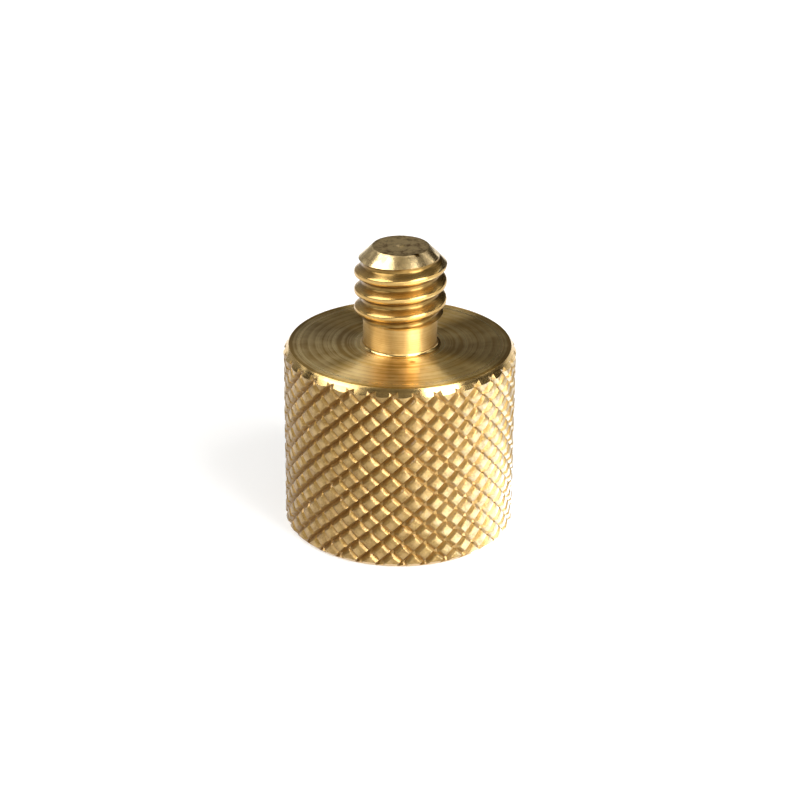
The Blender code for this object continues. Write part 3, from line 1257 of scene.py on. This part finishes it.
def area_lamp(name: str, sides: Pair, radiance: float, tint: str = WHITE) -> bpy.types.Object:
    """Make a rectangular lamp whose power is its radiance times pi times its area.

    Args:
        name: Name of the lamp.
        sides: Width and height in millimetres.
        radiance: Brightness of its face.
        tint: Colour of its light.

    Returns:
        The lamp, linked to the scene.
    """
    lamp = bpy.data.lights.new(name, "AREA")
    lamp.shape = "RECTANGLE"
    lamp.size, lamp.size_y = (side * METRES_PER_MM for side in sides)
    lamp.energy = radiance * math.pi * lamp.size * lamp.size_y
    lamp.color = srgb(tint)[:3]
    made = bpy.data.objects.new(name, lamp)
    bpy.context.scene.collection.objects.link(made)
    return made


@dataclass(frozen=True)
class Softbox:
    """Soft lamp seen from the object at an azimuth and height, with its sides, in degrees.

    Azimuth 0 is the camera's side and 90 is its right. The distance is in millimetres.
    """

    name: str
    azimuth: float
    elevation: float
    wide: float
    tall: float
    radiance: float
    distance: float = 300.0

    def side(self, degrees: float) -> float:
        """Length that spans an angle at the lamp's distance: twice the tangent of its half."""
        return 2.0 * self.distance * math.tan(math.radians(degrees / 2.0))

    def build(self, target: Vector) -> None:
        """Hang the lamp facing the target.

        Args:
            target: Point that the lamp faces, in metres.
        """
        across, up = math.radians(self.azimuth), math.radians(self.elevation)
        back = Vector(
            (math.sin(across) * math.cos(up), -math.cos(across) * math.cos(up), math.sin(up))
        )
        made = area_lamp(self.name, (self.side(self.wide), self.side(self.tall)), self.radiance)
        made.location = target + back * self.distance * METRES_PER_MM
        made.rotation_mode = "QUATERNION"
        made.rotation_quaternion = back.to_track_quat("Z", "Y")
        LOG.info("lamp %s", self.name)


@dataclass(frozen=True)
class TablePanel:
    """Light panel that lies on the table beside the object and faces up, in millimetres."""

    name: str
    place: Spot
    size: Pair
    radiance: float
    tint: str = WHITE

    def build(self) -> None:
        """Lay the panel out of the camera's sight."""
        made = area_lamp(self.name, self.size, self.radiance, self.tint)
        made.location = Vector(self.place) * METRES_PER_MM
        made.rotation_euler = (math.pi, 0.0, 0.0)
        made.visible_camera = False
        LOG.info("panel %s", self.name)


@dataclass(frozen=True)
class RoomPanel:
    """Pale patch of the room: its tone, direction, and cosines at its rim and at full tone."""

    tone: str
    towards: Spot
    rim: float
    full: float


@dataclass(frozen=True)
class Viewpoint:
    """Camera on the object's front, in millimetres and degrees."""

    target: Spot = (0.034, 0.0, 8.805)
    distance: float = 150.0
    elevation: float = 24.913
    roll: float = 0.47
    focal_pixels: float = 2191.5
    image_pixels: float = 800.0
    sensor: float = 36.0
    clip_metres: Pair = (0.001, 10.0)

    def build(self) -> None:
        """Set up the camera.

        Its view direction falls by the elevation, and its right and up directions are turned
        about it by the roll.
        """
        down, roll = math.radians(self.elevation), math.radians(self.roll)
        ahead = np.array([0.0, math.cos(down), -math.sin(down)])
        right = np.array([1.0, 0.0, 0.0])
        up = np.cross(right, ahead)
        turned = right * math.cos(roll) + up * math.sin(roll)
        raised = up * math.cos(roll) - right * math.sin(roll)
        place = (np.array(self.target) - ahead * self.distance) * METRES_PER_MM
        axes = Matrix([Vector(turned), Vector(raised), Vector(-ahead)]).transposed().to_4x4()
        data = bpy.data.cameras.new("camera")
        data.sensor_width = self.sensor
        data.lens = self.focal_pixels / self.image_pixels * self.sensor
        data.clip_start, data.clip_end = self.clip_metres
        made = bpy.data.objects.new("camera", data)
        made.matrix_world = Matrix.Translation(Vector(place)) @ axes
        bpy.context.scene.collection.objects.link(made)
        bpy.context.scene.camera = made


@dataclass(frozen=True)
class Studio:
    """White table, soft lamps and a pale horizon under a dim ceiling."""

    viewpoint: Viewpoint = Viewpoint()
    floor_reach: float = 1200.0
    floor_gap: float = 0.02
    paper: str = "#C8C8C8"
    floor_glow: float = 0.45
    front_wall: str = "#F8F8F8"
    side_wall: str = "#9C9A94"
    far_wall: str = "#3C3626"
    ceiling: str = "#544C3A"
    back_wall: str = "#30291A"
    room_panels: tuple[RoomPanel, ...] = (
        RoomPanel("#A09884", (0.0, -0.34, 0.94), 0.90, 0.985),
        RoomPanel("#A09E98", (-0.470, 0.814, 0.342), 0.86, 0.92),
        RoomPanel("#88826C", (0.348, 0.556, 0.755), 0.93, 0.985),
    )
    lamps: tuple[Softbox, ...] = (
        Softbox("softbox_right_low", 43.0, 12.0, 38.0, 26.0, 7.5),
        Softbox("softbox_right_high", 48.0, 42.0, 28.0, 34.0, 7.5),
        Softbox("softbox_left", -77.0, 49.0, 42.0, 40.0, 4.4),
        Softbox("softbox_left_low", -118.0, 22.0, 18.0, 8.0, 1.7),
        Softbox("softbox_side", 90.0, 10.0, 22.0, 16.0, 1.6),
        Softbox("softbox_side_middle", 74.0, 19.0, 16.0, 12.0, 3.0),
        Softbox("softbox_side_high", 112.0, 36.0, 26.0, 12.0, 1.3),
        Softbox("softbox_rear", 130.0, 4.0, 36.0, 14.0, 0.8),
        Softbox("softbox_front", 2.0, 16.0, 36.0, 28.0, 1.6),
    )
    panels: tuple[TablePanel, ...] = (
        TablePanel("table_panel_front", (23.0, -30.0, 0.05), (36.0, 32.0), 1.7),
        TablePanel("table_panel_side", (18.0, -5.0, 0.05), (26.0, 20.0), 4.4, "#C4DEFF"),
    )

    def floor(self) -> None:
        """Lay the white table: one large square that glows enough to come out white."""
        corners = np.array([[-1, -1, 0], [1, -1, 0], [1, 1, 0], [-1, 1, 0]]) * self.floor_reach
        corners[:, 2] = -self.floor_gap
        material, sheet = new_material("white_table_paper")
        paper = {"Color": srgb(self.paper), "Roughness": 0.5}
        matte = sheet.add("ShaderNodeBsdfDiffuse", inputs=paper)
        rays = sheet.add("ShaderNodeLightPath").outputs
        seen = sheet.sum("MAXIMUM", rays["Is Camera Ray"], rays["Is Glossy Ray"])
        seen = sheet.sum("MAXIMUM", seen, rays["Is Transmission Ray"])
        strength = sheet.sum("MULTIPLY", seen, self.floor_glow)
        light = {"Color": srgb(WHITE), "Strength": strength}
        glow = sheet.add("ShaderNodeEmission", inputs=light)
        lit = sheet.add("ShaderNodeAddShader", inputs={0: matte.outputs[0], 1: glow.outputs[0]})
        clear = sheet.add("ShaderNodeBsdfTransparent")
        behind = sheet.add("ShaderNodeNewGeometry").outputs["Backfacing"]
        sides = {0: behind, 1: lit.outputs[0], 2: clear.outputs[0]}
        shown = sheet.add("ShaderNodeMixShader", inputs=sides)
        sheet.add("ShaderNodeOutputMaterial", inputs={"Surface": shown.outputs[0]})
        slab = Surface(corners, (np.array([[0, 1, 2, 3]]),), (np.array([0]),))
        slab.to_object("table", [material])

    def world(self) -> None:
        """Light the room: pale walls, palest in front, with dim wall and ceiling above them.

        The height of the walls and the tone above them both follow how far a direction points
        to the front: the walls end at a sine of 0.02 behind and 0.56 in front. The room's
        panels add light by the cosine between a direction and their middles: one on the
        ceiling, a window at the back left and one high behind.
        """
        world = bpy.data.worlds.new("room")
        world.use_nodes = True
        world.node_tree.nodes.clear()
        sheet = NodeSheet(world.node_tree)
        direction = sheet.add("ShaderNodeTexCoord").outputs["Generated"]
        _, back, up = sheet.add("ShaderNodeSeparateXYZ", inputs={0: direction}).outputs
        facing = sheet.weigh(back, -0.6, up, 0.8)
        above = sheet.shade(facing, -0.2, 0.7, self.back_wall, self.ceiling)
        for panel in self.room_panels:
            near = sheet.vector("DOT_PRODUCT", direction, panel.towards, output=1)
            share = sheet.spread(near, panel.rim, panel.full, 0.0, 1.0)
            above = sheet.blend(share, above, srgb(panel.tone))
        walls = sheet.shade(back, -0.88, -0.60, self.front_wall, self.side_wall)
        walls = sheet.blend(sheet.spread(back, 0.3, 0.8, 0.0, 1.0), walls, srgb(self.far_wall))
        wall_end = sheet.spread(back, -0.8, 0.5, 0.56, 0.02)
        over = sheet.spread(sheet.sum("SUBTRACT", up, wall_end), -0.05, 0.05, 0.0, 1.0)
        colour = sheet.blend(over, walls, above)
        light = sheet.add("ShaderNodeBackground", inputs={"Color": colour, "Strength": 1.0})
        sheet.add("ShaderNodeOutputWorld", inputs={"Surface": light.outputs[0]})
        bpy.context.scene.world = world

    def build(self) -> None:
        """Set up the camera, table, room, lamps and table panels."""
        self.viewpoint.build()
        self.floor()
        self.world()
        target = Vector(self.viewpoint.target) * METRES_PER_MM
        for lamp in self.lamps:
            lamp.build(target)
        for panel in self.panels:
            panel.build()


def main() -> None:
    """Load the frame, build the studio and the adapter, and log the piece's name."""
    logging.basicConfig(level=logging.INFO, format="%(name)s %(message)s")
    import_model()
    scene = bpy.context.scene
    scene.view_settings.view_transform = "Standard"
    Studio().build()
    piece = ThreadAdapter().build()
    LOG.info("built %s", piece.name)


if __name__ == "__main__":
    main()
